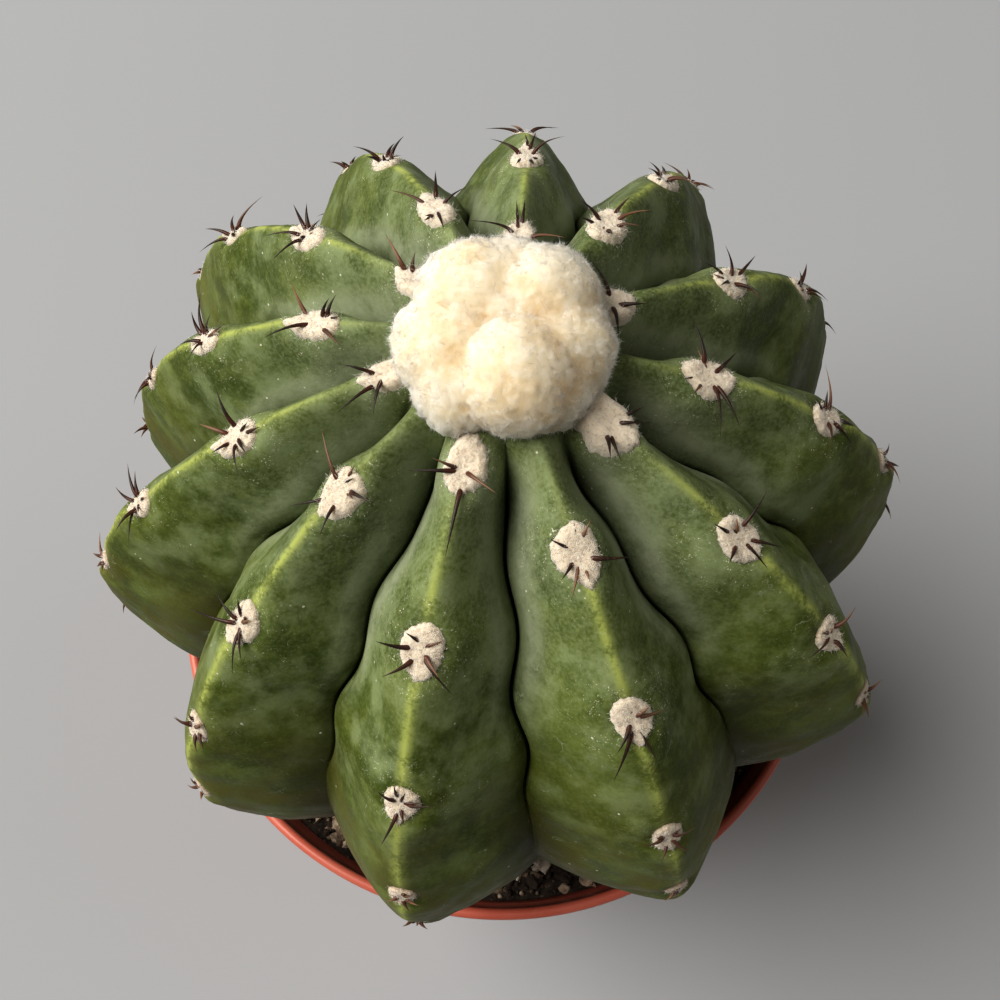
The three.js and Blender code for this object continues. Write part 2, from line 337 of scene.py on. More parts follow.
plant = {
    "equator": rimTop + 37.6,
    "radius": 68,
    "crownHeight": 67.4,
    "baseDepth": 70,
    "sideRoundness": 1.77,
    "topRoundness": 1.96,
    "footRadius": 46,
    "rootPoints": [(45, 3), (38, 8), (30, 13), (12, 26), (8, 42)],
    "rootDepth": 46,
    "ribAzimuths": [-105.3, -69.2, -34.4, -1.2, 27.7, 57.4, 85.4, 113.5, 140.4, 165.7, 191.8, 221.5],
    "ribSweeps": [0.067, 0.067, 0.1, 0.087, 0.067, 0.037, 0.067, 0.107, 0.067, -0.01, -0.03, 0.067],
    "ribStarts": [0, -0.4, -0.4, -0.4, -1.2, -1.8, 0.6, -1.8, -1.7, -1.2, -1.4, -0.3],
    "ribReach": [0, 0, 0, -1.8, -2.2, 0, 0, 0, 1.5, -3, 0, -0.6],
    "grooveReach": [0, 0, -0.9, -1.4, -0.8, 0, 0, 0.7, -1, -6, -2.8, -0.3],
    "ribWaist": 1.3,
    "grooveDepth": 12.5,
    "grooveAtEquator": 11,
    "slitDepth": 4.5,
    "slitHalf": 0.28,
    "lipFall": 0.8,
    "lipSwell": 0.5,
    "lipFromGroove": 1.8,
    "firstAreole": 17,
    "areoleStep": 9.7,
    "areoleCount": 10,
    "areoleFlat": (3.5, 4),  # half the flat that an areole sits on, across and down the rib
    "crestHump": 0.5,
    "notch": 0.7,
    "chin": 0.5,
    "chinBelow": 4.6,  # degrees below an areole
}

ribCount = len(plant["ribAzimuths"])
azimuths = np.array(plant["ribAzimuths"], float)
sweeps = np.array(plant["ribSweeps"], float)
starts = np.array(plant["ribStarts"], float)
reaches = np.array(plant["ribReach"], float)
grooveReaches = np.array(plant["grooveReach"], float)


def crestLine(t):
    sine, rise = np.abs(np.sin(np.radians(t))), np.cos(np.radians(t))
    height = np.where(rise > 0, plant["crownHeight"], plant["baseDepth"])
    z = np.sign(rise) * height * np.abs(rise) ** (2 / plant["topRoundness"])
    return plant["radius"] * sine ** (2 / plant["sideRoundness"]), z


def crestNormal(t):
    r0, z0 = crestLine(t - 0.5)
    r1, z1 = crestLine(t + 0.5)
    length = np.hypot(r1 - r0, z1 - z0)
    return -(z1 - z0) / length, (r1 - r0) / length


def crestAzimuth(rib, t):
    turns = np.floor_divide(rib, ribCount)
    own = rib - turns * ribCount
    return azimuths[own] + 360 * turns + sweeps[own] * (t - 45)


def grooveAzimuth(rib, t):
    between = (crestAzimuth(rib, t) + crestAzimuth(rib + 1, t)) / 2
    phase = np.cos(np.pi * (t - plant["firstAreole"]) / plant["areoleStep"])
    swing = smoothStep(t, 10, 30) * (1 - smoothStep(t, 45, 80))
    return between + np.where(rib % 2 == 0, 1, -1) * plant["ribWaist"] * phase * swing


def fromAreole(rib, t):
    # degrees below (or, if negative, above) the nearest areole of this rib
    first = plant["firstAreole"] + starts[rib % ribCount] + (rib % 2) * plant["areoleStep"]
    spacing = 2 * plant["areoleStep"]
    last = (plant["areoleCount"] - 1 - rib % 2) // 2
    nearest = np.clip(np.round((t - first) / spacing), 0, last)
    return t - first - nearest * spacing


def flankWidth(r):
    # the usual distance in millimetres from a crest to the groove beside it
    return np.maximum(r * np.pi / ribCount, 0.1)


def lipShare(r, t):
    # 1 where the ribs press their swollen lips together, 0 where the groove is an open V
    return smoothStep(r, 13, 22) * (1 - smoothStep(t, 48, 72))


def skinPoint(rib, side, t, lift=0.0):
    # side runs from -1 at one groove over 0 at the crest to 1 at the next groove
    rib, side, t = np.broadcast_arrays(np.asarray(rib), np.asarray(side, float), np.asarray(t, float))
    far = np.abs(side)
    r, z = crestLine(t)
    outR, outZ = crestNormal(t)
    away = fromAreole(rib, t)

    # how far the skin lies below the crest line: first the flank, then its lip and slit
    depth = plant["grooveDepth"] + (plant["grooveAtEquator"] - plant["grooveDepth"]) * smoothStep(t, 55, 90)
    depth = depth * smoothStep(r, 9, 23) * smoothStep(z, soilTop - plant["equator"], -18)
    blunt = 0.08 + 0.1 * bell(away, 4) + 0.15 * (1 - smoothStep(t, 24, 58))
    flank = (np.sqrt(far ** 2 + blunt ** 2) - blunt) / (np.sqrt(1 + blunt ** 2) - blunt)
    lip = lipShare(r, t)
    fromCrest = far * flankWidth(r)
    fromGroove = flankWidth(r) - fromCrest
    sunk = depth * (flank * (1 - 0.36 * lip) + 0.22 * lip * smoothStep(far, 0.2, 1))
    flatAcross, flatDown = plant["areoleFlat"]
    seat = np.hypot(fromCrest / flatAcross, away / flatDown)
    sunk = sunk * (0.15 + 0.85 * smoothStep(seat, 0.45, 1.6))
    sunk = (sunk + lip * plant["lipFall"] * (1 - smoothStep(fromGroove, 0.2, 1.4))
            - lip * plant["lipSwell"] * bell(fromGroove - plant["lipFromGroove"], 1.1))
    sunk = sunk + lip * plant["slitDepth"] * (1 - smoothStep(fromGroove, 0, plant["slitHalf"]))

    # the crest rises between areoles, with a notch at each and a chin under it
    nearCrest = 1 - smoothStep(far, 0, 0.5)
    hump = plant["crestHump"] * np.sin(np.clip(away / plant["areoleStep"], -1, 1) * np.pi / 2) ** 2
    sunk = sunk - hump * (1 - far) * smoothStep(t, 10, 30) * (1 - smoothStep(t, 100, 115))
    sunk = (sunk + nearCrest * plant["notch"] * bell(away, 2.6)
            - nearCrest * plant["chin"] * bell(away - plant["chinBelow"], 2.3))
    groove = np.where(side < 0, rib - 1, rib)
    reach = reaches[rib] * (1 - far) + grooveReaches[groove % ribCount] * far
    toFoot = smoothStep(-z, 32, plant["equator"] - soilTop)
    radius = r + reach * np.sin(np.radians(t)) ** 2 - (sunk - lift) * outR
    radius = radius * (1 - toFoot) + plant["footRadius"] * toFoot
    height = plant["equator"] + z - (sunk - lift) * outZ
    azimuth = np.radians(crestAzimuth(rib, t) * (1 - far) + grooveAzimuth(groove, t) * far)
    return np.stack([radius * np.cos(azimuth), radius * np.sin(azimuth), height], -1)


def areoleFrame(rib, t):
    azimuth = math.radians(float(crestAzimuth(rib, t)))
    outR, outZ = crestNormal(t)
    out = np.array([outR * math.cos(azimuth), outR * math.sin(azimuth), outZ])
    across = np.array([-math.sin(azimuth), math.cos(azimuth), 0])
    return out, across, np.cross(across, out)


def areoleList():
    # every areole: its rib, its place in the row down the plant, and its angle t
    places = []
    for rib in range(ribCount):
        first = plant["firstAreole"] + starts[rib]
        for station in range(1 + rib % 2, plant["areoleCount"] + 1, 2):
            places.append((rib, station, first + (station - 1) * plant["areoleStep"]))
    return places


# Skin: one closed surface from the crown to the root tip

skin = {
    "flankColumns": 11,
    "grooveColumns": [0.12, 0.22, 0.34, 0.55, 0.95, 1.6, 2.5],  # millimetres from the groove
    "rows": 186,
    "topAngle": 4,
    "lowAngle": 128,
    "dents": 0.5,
    "dentSize": 13,
    "hollows": 0.22,
    "hollowSize": 5.5,
    "ripple": 0.1,
    "rippleSize": 2.6,
}


def flankSides(t):
    # places across one flank for each row, closest together beside the groove
    width = np.maximum(flankWidth(crestLine(t)[0]), 4)[:, None]
    beside = 1 - np.array(skin["grooveColumns"])[::-1] / width
    share = np.arange(1, skin["flankColumns"] + 1) / (skin["flankColumns"] + 1)
    return np.hstack([share ** 1.25 * beside[:, :1], beside])


def makeSkin():
    t = np.linspace(skin["topAngle"], skin["lowAngle"], skin["rows"])
    right = flankSides(t)
    ends = np.ones((skin["rows"], 1))
    sides = np.hstack([-ends, -right[:, ::-1], 0 * ends, right])
    side = np.tile(sides, (1, ribCount))
    rib = np.broadcast_to(np.repeat(np.arange(ribCount), sides.shape[1])[None, :], side.shape)
    columns = side.shape[1]
    points = skinPoint(rib, side, t[:, None]).reshape(-1, 3)
    t = np.repeat(t, columns)
    rib, side = rib.ravel(), side.ravel()
    away, far = fromAreole(rib, t), np.abs(side)

    outward = unit(points - np.array([0, 0, plant["equator"] - 10]))
    calm = 1 - 0.7 * smoothStep(far, 0.75, 1)
    dents = skin["dents"] * fieldNoise(points, skin["dentSize"], 1) * (1 - bell(away, 3) * (far < 0.4))
    dents = dents + skin["hollows"] * fieldNoise(points, skin["hollowSize"], 3)
    dents = dents + skin["ripple"] * fieldNoise(points, skin["rippleSize"], 2)
    fade = 1 - smoothStep(-points[:, 2], -soilTop - 8, -soilTop)
    points = points + outward * (dents * calm * fade)[:, None]

    azimuth = np.arctan2(points[-columns:, 1], points[-columns:, 0])
    rings = [np.stack([r * np.cos(azimuth), r * np.sin(azimuth), np.full(columns, soilTop - depth)], -1)
             for r, depth in [(plant["footRadius"], 0), *plant["rootPoints"]]]
    points = np.vstack([points, *rings])
    rows = skin["rows"] + len(rings)
    faces = gridFaces(rows, columns)
    top = [0, 0, plant["equator"] + plant["crownHeight"]]
    points, faces = closeEnds(points, faces, rows, columns, top, [0, 0, soilTop - plant["rootDepth"]])
    body = makeObject("cactus_skin", points, faces)

    rest = len(points) - len(t)
    r, _ = crestLine(t)
    fromCrest = flankWidth(r) * far
    fromGroove = flankWidth(r) - fromCrest
    values = {
        "ridge": bell(fromCrest, 0.6) * (1 - 0.75 * bell(away, 2.2)) * smoothStep(t, 14, 36),
        # slitShade: where the groove closes to a slit, marked for painted shade
        "slitShade": (1 - smoothStep(fromGroove, 0.1, 0.36)) * lipShare(r, t),
        # valleyShade: the groove floors of the lower body, marked for painted shade
        "valleyShade": (1 - smoothStep(fromGroove, 0, 8)) * smoothStep(t, 48, 76),
        # bloomAndSheenShare: the upper body, where pale waxy bloom and painted sheen go
        "bloomAndSheenShare": 1 - 0.8 * smoothStep(t, 48, 80),
        # lip: the swollen lip beside each slit, marked for a painted highlight
        "lip": bell(fromGroove - plant["lipFromGroove"], 1.2) * lipShare(r, t) * (1 - smoothStep(t, 32, 58)),
        "age": smoothStep(t, 46, 92),
        "powder": bell(np.hypot(fromCrest, away * 1.1) - 3.5, 3.5) * (1 - smoothStep(t, 45, 75)),
        # crown: the top of the plant, where pale waxy bloom and painted sheen go
        "crown": 1 - smoothStep(t, 22, 56),
    }
    for name, numbers in values.items():
        setPointValue(body, name, np.r_[numbers, np.zeros(rest)])
    return body


def skinFinish():
    look = Finish("waxy green skin")
    broad = look.noise(14, 4, 0.6)
    mottle = look.noise(3.4, 4, 0.65)
    fine = look.noise(0.55, 3, 0.6)
    green = look.mix(look.ramp(broad, 0.38, 0.64), (0.044, 0.064, 0.008), (0.098, 0.126, 0.024))
    green = look.mix(look.ramp(mottle, 0.45, 0.68, 0, 0.5), green, (0.145, 0.178, 0.044))
    green = look.mix(look.ramp(mottle, 0.46, 0.3, 0, 0.4), green, (0.040, 0.056, 0.007))
    green = look.mix(look.ramp(fine, 0.5, 0.72, 0, 0.3), green, (0.175, 0.205, 0.072))
    green = look.mix(look.ramp(fine, 0.5, 0.3, 0, 0.25), green, (0.040, 0.054, 0.007))
    # pale grey-green patches: partly real waxy bloom, partly painted sheen
    bloomAndSheen = look.times(look.ramp(look.noise(7, 4, 0.65), 0.42, 0.68), look.value("bloomAndSheenShare"))
    # paler near the crown: partly real waxy bloom, partly painted sheen
    crown = look.times(look.value("crown"), look.ramp(fine, 0.3, 0.65, 0.08, 0.42))
    green = look.mix(look.times(bloomAndSheen, 0.48), green, (0.25, 0.30, 0.165))
    green = look.mix(crown, green, (0.24, 0.285, 0.165))
    olive = look.ramp(look.noise(9, 3), 0.36, 0.6)
    aged = look.times(look.times(look.value("age"), olive), 0.75)
    green = look.mix(aged, green, (0.100, 0.084, 0.010))
    # painted shade: the lower groove floors are darkened nearly to black
    green = look.mix(look.times(look.value("valleyShade"), 0.8), green, (0.036, 0.034, 0.004))
    # painted highlight: a pale grey-green band along each lip, as if it caught the sky
    lip = look.times(look.value("lip"), look.ramp(mottle, 0.3, 0.6, 0.4, 0.85))
    green = look.mix(lip, green, (0.28, 0.31, 0.21))
    streaky = look.plus(look.times(look.noise(3.5, 3), 0.6), look.times(fine, 0.4))
    ridge = look.times(look.value("ridge"), look.ramp(streaky, 0.4, 0.56, 0.3, 1))
    green = look.mix(ridge, green, (0.33, 0.37, 0.10))
    flecks = look.ramp(look.noise(0.28, 2), 0.6, 0.72)
    near = look.times(look.value("powder"), look.ramp(look.noise(1.6, 2), 0.42, 0.66))
    green = look.mix(look.times(flecks, near), green, (0.68, 0.65, 0.53))
    creases = look.ramp(look.cells(3.2, "DISTANCE_TO_EDGE", look.waved(0.9, 1.4)), 0.03, 0.006)
    marked = look.ramp(look.noise(6, 3, 0.7), 0.56, 0.7, 0, 0.3)
    green = look.mix(look.times(creases, marked), green, (0.45, 0.48, 0.36))
    specks = look.times(look.ramp(look.cells(2.7), 0.085, 0.05), look.ramp(look.noise(7, 1), 0.5, 0.6))
    green = look.mix(specks, green, (0.55, 0.55, 0.44))
    # painted shade: the slit at the groove floor is coloured near black, as the shadow inside it
    green = look.mix(look.value("slitShade"), green, (0.012, 0.013, 0.008))
    height = look.plus(look.times(fine, 0.5), look.times(mottle, 0.5))
    normal = look.bump(height, 0.45, 0.2)
    roughness = look.ramp(mottle, 0.3, 0.7, 0.38, 0.56)
    return look.done(green, roughness, normal, **{"Specular IOR Level": 0.05})


body = makeSkin()
finishPiece(body, skinFinish(), "cactus_skin", "cactus_body")
print("skin grown")


# Felt pads: a mound on the skin at each areole, covered with short fibres

felt = {
    "across": 2.65,
    "along": 3.9,
    "underCap": 1.7,  # how much longer the first pads are on the side of the cap
    "first": [0.8, 1.12, 0.92, 0.85, 0.85, 0.86],  # sizes of the pads that touch the cap, round the plant
    "high": 1.15,
    "sunk": 0.25,
    "rings": 13,
    "spokes": 52,
    "ragged": 0.1,
    "tail": 0.3,  # a tuft down the rib, on some pads
    "sizes": [1.08, 1.0, 0.95, 0.88, 0.8, 0.74, 0.7, 0.66, 0.62, 0.58],  # down the plant
    "fibres": 600,
    "fibreLength": 0.62,
    "fibreWidth": 0.06,
}


def padSize(station):
    return felt["sizes"][station - 1]


def padEdge(turn, draw):
    # how far the edge of a pad reaches in each direction, as a share of a plain oval
    edge = 1 + 0.06 * np.sin(2 * turn + draw.random() * 6) + 0.05 * np.sin(3 * turn + draw.random() * 6)
    edge = edge + felt["ragged"] * (draw.random(len(turn)) - 0.5)
    return edge + felt["tail"] * draw.random() ** 2 * bell(np.sin(turn / 2), 0.1)


def padPoints(rib, station, t, draw):
    # a polar grid laid over the rib, from the middle of the pad to its ragged edge
    size = padSize(station) * (felt["first"][rib // 2] if station == 1 else 1)
    out, across, down = areoleFrame(rib, t)
    turn = np.arange(felt["spokes"]) * 2 * math.pi / felt["spokes"]
    edge = padEdge(turn, draw)
    rho = np.linspace(0, 1, felt["rings"] + 1)[1:] ** 0.85
    x = rho[:, None] * np.sin(turn)[None, :] * edge * felt["across"] * size
    y = rho[:, None] * np.cos(turn)[None, :] * edge * felt["along"] * size
    if station == 1:
        y = np.where(y < 0, y * felt["underCap"], y)
    perDegree = plant["radius"] * math.pi / 180
    downTo = t + y / perDegree
    half = flankWidth(crestLine(downTo)[0])
    onSkin = skinPoint(rib, x / half, downTo)
    middle = skinPoint(rib, 0.0, t)
    flat = middle + across * x[..., None] + down * y[..., None]
    drop = np.maximum((flat - onSkin) @ out, 0)
    dome = np.maximum(1 - rho ** 2.8, 0) ** 0.6
    height = (felt["high"] * size * dome - felt["sunk"] * smoothStep(rho, 0.85, 1))[:, None]
    height = height + 0.35 * drop * (1 - smoothStep(rho, 0.7, 1)[:, None])
    ring = onSkin + out * height[..., None]
    grain = fieldNoise(ring.reshape(-1, 3), 0.9, 51).reshape(x.shape) * 0.15
    grain = grain + fieldNoise(ring.reshape(-1, 3), 0.4, 52).reshape(x.shape) * 0.1
    ring = ring + out * (grain * (1 - smoothStep(rho, 0.9, 1)[:, None]))[..., None]
    return middle + out * felt["high"] * size, ring, rho


def makeFelt():
    draw = np.random.default_rng(21)
    points, faces, edge, padAge = [], [], [], []
    roots, ways, lengths, bends, fibreAge = [], [], [], [], []
    start = 0
    for rib, station, t in areoleList():
        middle, ring, rho = padPoints(rib, station, t, draw)
        out, across, down = areoleFrame(rib, t)
        rings, spokes = ring.shape[:2]
        local = gridFaces(rings, spokes) + start + 1
        fan = [[start, start + 1 + k, start + 1 + (k + 1) % spokes] for k in range(spokes)]
        points += [middle[None], ring.reshape(-1, 3)]
        faces += fan + local.tolist()
        edge.append(np.r_[0, np.repeat(rho, spokes)])
        old = (station - 1) / plant["areoleCount"]
        padAge.append(np.full(1 + rings * spokes, old))
        start += 1 + rings * spokes

        count = felt["fibres"]
        flat = ring.reshape(-1, 3)
        outer = np.repeat(rho, spokes)
        pick = draw.choice(len(flat), count, p=outer / outer.sum())
        root = flat[pick] + (draw.random((count, 3)) - 0.5) * 0.4 - out * 0.12
        fromMiddle = unit(root - middle)
        spread = outer[pick][:, None]
        way = unit(out * (0.7 - 0.3 * spread) + fromMiddle * spread + draw.normal(0, 0.7, (count, 3)))
        roots.append(root)
        ways.append(way)
        lengths.append(felt["fibreLength"] * draw.uniform(0.5, 1.25, count) * padSize(station))
        bends.append(draw.normal(0, 0.35, (count, 3)))
        fibreAge.append(np.full(count, old))
    pads = makeObject("areole_felt", np.vstack(points), faces)
    setPointValue(pads, "edge", np.concatenate(edge))
    setPointValue(pads, "old", np.concatenate(padAge))
    roots, ways, bends = np.vstack(roots), np.vstack(ways), np.vstack(bends)
    lengths = np.concatenate(lengths)
    widths = felt["fibreWidth"] * draw.uniform(0.7, 1.3, len(roots))
    fibrePoints, fibreFaces, _, each = needles(roots, ways, lengths, widths, bends, steps=1)
    fibres = makeObject("areole_fibres", fibrePoints, fibreFaces)
    setPointValue(fibres, "tone", np.repeat(draw.random(len(roots)), each))
    setPointValue(fibres, "old", np.repeat(np.concatenate(fibreAge), each))
    return pads, fibres


def feltFinish():
    look = Finish("areole felt")
    old = look.value("old")
    young = look.mix(look.noise(1.1, 3), (0.72, 0.65, 0.54), (0.66, 0.56, 0.44))
    worn = look.mix(look.noise(1.0, 3), (0.61, 0.48, 0.38), (0.45, 0.33, 0.23))
    colour = look.mix(look.ramp(old, 0.25, 0.9), young, worn)
    rim = look.times(look.ramp(look.value("edge"), 0.86, 1), look.ramp(old, 0.2, 0.7, 0.1, 0.75))
    colour = look.mix(rim, colour, (0.2, 0.12, 0.06))
    colour = look.mix(look.ramp(look.noise(0.45, 3, 0.6), 0.52, 0.7, 0, 0.5), colour, (0.36, 0.27, 0.19))
    normal = look.bump(look.noise(0.35, 4, 0.7), 0.9, 0.3)
    return look.done(colour, 0.95, normal, **{
        "Specular IOR Level": 0.1, "Sheen Weight": 0.25, "Subsurface Weight": 0.7,
        "Subsurface Radius": (1, 0.85, 0.65), "Subsurface Scale": 1 * mm})


def fibreFinish():
    look = Finish("felt fibres")
    old = look.ramp(look.value("old"), 0.2, 0.9)
    colour = look.mix(old, (0.77, 0.70, 0.60), (0.64, 0.51, 0.40))
    colour = look.mix(look.ramp(look.noise(0.9, 2), 0.4, 0.7, 0, 0.4), colour, (0.66, 0.55, 0.41))
    colour = look.mix(look.ramp(look.value("tone"), 0.5, 1, 0, 0.6), colour, (0.42, 0.31, 0.21))
    return look.done(colour, 0.9, **{
        "Specular IOR Level": 0.1, "Sheen Weight": 0.2, "Subsurface Weight": 0.6,
        "Subsurface Radius": (1, 0.85, 0.65), "Subsurface Scale": 1 * mm})


pads, padFibres = makeFelt()
finishPiece(pads, feltFinish(), "cactus_skin", "cactus_body")
finishPiece(padFibres, fibreFinish(), "cactus_skin", "cactus_body")
print("felt laid")


# Spines: a ring of curved horns on each areole, fewer and shorter on the old ones

spine = {
    "length": 5.1,
    "thick": 0.68,
    "sides": 8,
    "steps": 9,
    "around": [26, -40, 84, -90, 140, -146, 178],
    "share": [0.95, 1.0, 0.85, 0.95, 0.5, 0.55, 0.35],  # those towards the crown are short
    "worn": [0.86, 0.8, 0.88, 0.9, 1, 1, 1, 1, 1, 1, 0.94, 0.88],  # by rib, broken short at the front
    "lengthSpread": (0.55, 1.1),
    "shortening": 0.45,  # by how much the lowest spines are shorter
    "jitter": 18,
    "rise": (40, 76),
    "riseUnderCap": 10,
    "freeOfCap": 100,  # degrees from straight down; beside the cap no spine points further round
    "seat": (0.2, 0.6),
    "lifted": 0.7,
    "curl": 1.15,
    "kept": 0.93,
    "keptLow": 0.6,
    "lowStation": 7,
    "lastStation": 9,
}


def makeSpines():
    draw = np.random.default_rng(5)
    roots, ways, lengths, widths, bends, tint, old = [], [], [], [], [], [], []
    for rib, station, t in areoleList():
        out, across, down = areoleFrame(rib, t)
        size = padSize(station)
        middle = skinPoint(rib, 0.0, t, spine["lifted"])
        underCap = station == 1
        chance = spine["kept"] if station < spine["lowStation"] else spine["keptLow"]
        kept = draw.random(len(spine["around"])) < chance
        for around, share, stays in zip(spine["around"], spine["share"], kept):
            angle = math.radians(around + draw.normal(0, spine["jitter"]))
            lift = math.radians(draw.uniform(*spine["rise"]) + underCap * spine["riseUnderCap"])
            length = spine["length"] * share * spine["worn"][rib] * draw.uniform(*spine["lengthSpread"])
            length = length * (1 - spine["shortening"] * smoothStep(station, 3, 8))
            blunt, turned, shade = draw.random(), draw.normal(0, 0.2), draw.random()
            hidden = underCap and abs(around) > spine["freeOfCap"]
            if not stays or hidden or station > spine["lastStation"]:
                continue
            lean = down * math.cos(angle) + across * math.sin(angle)
            seat = size * draw.uniform(*spine["seat"])
            reach = seat * np.array([felt["along"] * math.cos(angle), felt["across"] * math.sin(angle)])
            roots.append(middle + down * reach[0] + across * reach[1])
            ways.append(lean * math.cos(lift) + out * math.sin(lift))
            curl = spine["curl"] * draw.uniform(0.3, 1.2)
            bends.append((lean - out * 0.5) * curl + np.cross(out, lean) * turned)
            lengths.append(length)
            widths.append(spine["thick"] * (0.85 + 0.3 * blunt))
            tint.append(shade)
            old.append((station - 1) / plant["areoleCount"])
    points, faces, along, each = needles(
        np.array(roots), unit(np.array(ways)), np.array(lengths), np.array(widths), np.array(bends),
        spine["sides"], spine["steps"])
    spines = makeObject("spines", points, faces)
    setPointValue(spines, "along", along)
    setPointValue(spines, "tint", np.repeat(tint, each))
    setPointValue(spines, "old", np.repeat(old, each))
    print("spines:", len(roots))
    return spines


def spineFinish():
    look = Finish("spine horn")
    along = look.value("along")
    tint = look.value("tint")
    dark = look.mix(look.ramp(along, 0.1, 0.6), (0.056, 0.016, 0.008), (0.015, 0.008, 0.005))
    red = look.mix(look.ramp(along, 0.1, 0.8), (0.085, 0.025, 0.012), (0.24, 0.13, 0.075))
    fade = look.plus(look.ramp(tint, 0.65, 0.95, 0, 0.8), look.ramp(look.value("old"), 0.3, 0.75, 0, 0.6))
    colour = look.mix(fade, dark, red)
    colour = look.mix(look.ramp(look.noise(0.4, 3), 0.5, 0.8, 0, 0.4), colour, (0.16, 0.07, 0.03))
    normal = look.bump(look.noise(0.22, 2), 0.3, 0.05)
    return look.done(colour, 0.4, normal, **{"Specular IOR Level": 0.28})


spines = makeSpines()
finishPiece(spines, spineFinish(), "cactus_skin", "cactus_body")
print("spines set")


# Wool cap: fused lobes, remeshed and roughened, with fibres all over

cap = {
    "seat": capSeat,
    "middle": {"radius": 12, "belly": 2, "height": 9.4},
    "lobes": [(1.2, -5.9, 7.7, 4.4), (-6.6, -1.0, 7.4, 2.8), (-4.0, 5.6, 7.3, 3.2), (0.6, 7.0, 6.8, 2.4),
              (4.8, 4.8, 7.4, 3.4), (7.0, -1.2, 7.0, 2.4), (-4.8, -5.4, 6.9, 1.4), (5.7, -5.3, 6.3, 1.2)],
    "voxel": 0.27,
    "creaseSmoothing": 7,
    "tufts": [(4.2, 0.45), (1.8, 0.36), (0.9, 0.4)],  # grain and swing
    "bareFoot": 0.4,  # no fibre grows lower than this above the seat
    "fibreRoot": 0.15,
}

# lying says how flat they lie; the curls lie flatter, so that few stand out alone
capFibres = {
    "cephalium_fibres": {"count": 34000, "length": 0.6, "width": 0.06, "steps": 1, "lying": 0.45, "seed": 8},
    "cephalium_curls": {"count": 12000, "length": 1.0, "width": 0.06, "steps": 2, "lying": 0.75, "seed": 9},
}


def ballPoints(centre, sizes, rows=20, columns=28):
    polar = np.linspace(0, np.pi, rows + 2)[1:-1, None]
    turn = np.linspace(0, 2 * np.pi, columns, endpoint=False)[None, :]
    ring = [np.sin(polar) * np.cos(turn), np.sin(polar) * np.sin(turn), np.cos(polar) + 0 * turn]
    points, faces = np.stack(ring, -1).reshape(-1, 3), gridFaces(rows, columns)
    points, faces = closeEnds(points, faces, rows, columns, [0, 0, 1], [0, 0, -1])
    return points * sizes + centre, faces


def makeCap():
    seat = cap["seat"]
    middle = cap["middle"]
    sizes = [middle["radius"], middle["radius"], middle["height"] - middle["belly"]]
    balls = [ballPoints([0, 0, seat + middle["belly"]], sizes)]
    for x, y, radius, lift in cap["lobes"]:
        balls.append(ballPoints([x, y, seat + lift], [radius] * 3))
    points, faces, start = [], [], 0
    for ballPlace, ballFaces in balls:
        points.append(ballPlace)
        faces += [[start + corner for corner in face] for face in ballFaces]
        start += len(ballPlace)
    wool = makeObject("cephalium_wool", np.vstack(points), faces)
    bpy.context.view_layer.objects.active = wool
    remesh = wool.modifiers.new("one mass", "REMESH")
    remesh.mode = "VOXEL"
    remesh.voxel_size = cap["voxel"] * mm
    smooth = wool.modifiers.new("soften creases", "SMOOTH")
    smooth.iterations = cap["creaseSmoothing"]
    bpy.ops.object.modifier_apply(modifier=remesh.name)
    bpy.ops.object.modifier_apply(modifier=smooth.name)
    count = len(wool.data.vertices)
    place = np.zeros(count * 3)
    normal = np.zeros(count * 3)
    wool.data.vertices.foreach_get("co", place)
    wool.data.vertices.foreach_get("normal", normal)
    place, normal = place.reshape(-1, 3) / mm, normal.reshape(-1, 3)
    lumps = sum(swing * fieldNoise(place, size, 4 + k) for k, (size, swing) in enumerate(cap["tufts"]))
    place = place + normal * lumps[:, None]
    place[:, 2] = np.maximum(place[:, 2], seat + 0.15 * fieldNoise(place, 2, 7))
    wool.data.vertices.foreach_set("co", (place * mm).ravel())
    wool.data.update()
    for polygon in wool.data.polygons:
        polygon.use_smooth = True
    # hollowShade: how deep each point lies in a dip between the lumps, for painted shade
    setPointValue(wool, "hollowShade", smoothStep(-lumps, 0.1, 0.9))
    return wool


def scatterOnCap(wool, count, draw):
    # random places on the wool, with the way out and a swirl that neighbours share
    mesh = wool.data
    mesh.calc_loop_triangles()
    corners = np.array([tuple(tri.vertices) for tri in mesh.loop_triangles])
    place = np.array([v.co[:] for v in mesh.vertices]) / mm
    normal = np.array([v.normal[:] for v in mesh.vertices])
    a, b, c = (place[corners[:, k]] for k in range(3))
    area = np.linalg.norm(np.cross(b - a, c - a), axis=1)
    area = area * (a[:, 2] > cap["seat"] + cap["bareFoot"])
    pick = draw.choice(len(corners), count, p=area / area.sum())
    weight = draw.dirichlet([1, 1, 1], count)
    root = (place[corners[pick]] * weight[:, :, None]).sum(1)
    out = unit(normal[corners[pick]].sum(1))
    swirl = np.stack([fieldNoise(root, 1.3, k) for k in (11, 12, 13)], -1)
    return root, out, swirl


def makeCapFibres(wool, name, kind):
    draw = np.random.default_rng(kind["seed"])
    count, steps = kind["count"], kind["steps"]
    root, out, swirl = scatterOnCap(wool, count, draw)
    way = unit(out * (1.1 - kind["lying"]) + swirl * 1.6 + draw.normal(0, 0.3, root.shape))
    bend = draw.normal(0, 0.45, root.shape) - out * 0.35 if steps > 1 else 0 * root
    lengths = kind["length"] * draw.uniform(0.45, 1.3, count)
    widths = kind["width"] * draw.uniform(0.7, 1.2, count)
    points, faces, _, each = needles(root - out * cap["fibreRoot"], way, lengths, widths, bend, steps=steps)
    fibres = makeObject(name, points, faces)
    setPointValue(fibres, "tone", np.repeat(draw.random(count), each))
    return fibres


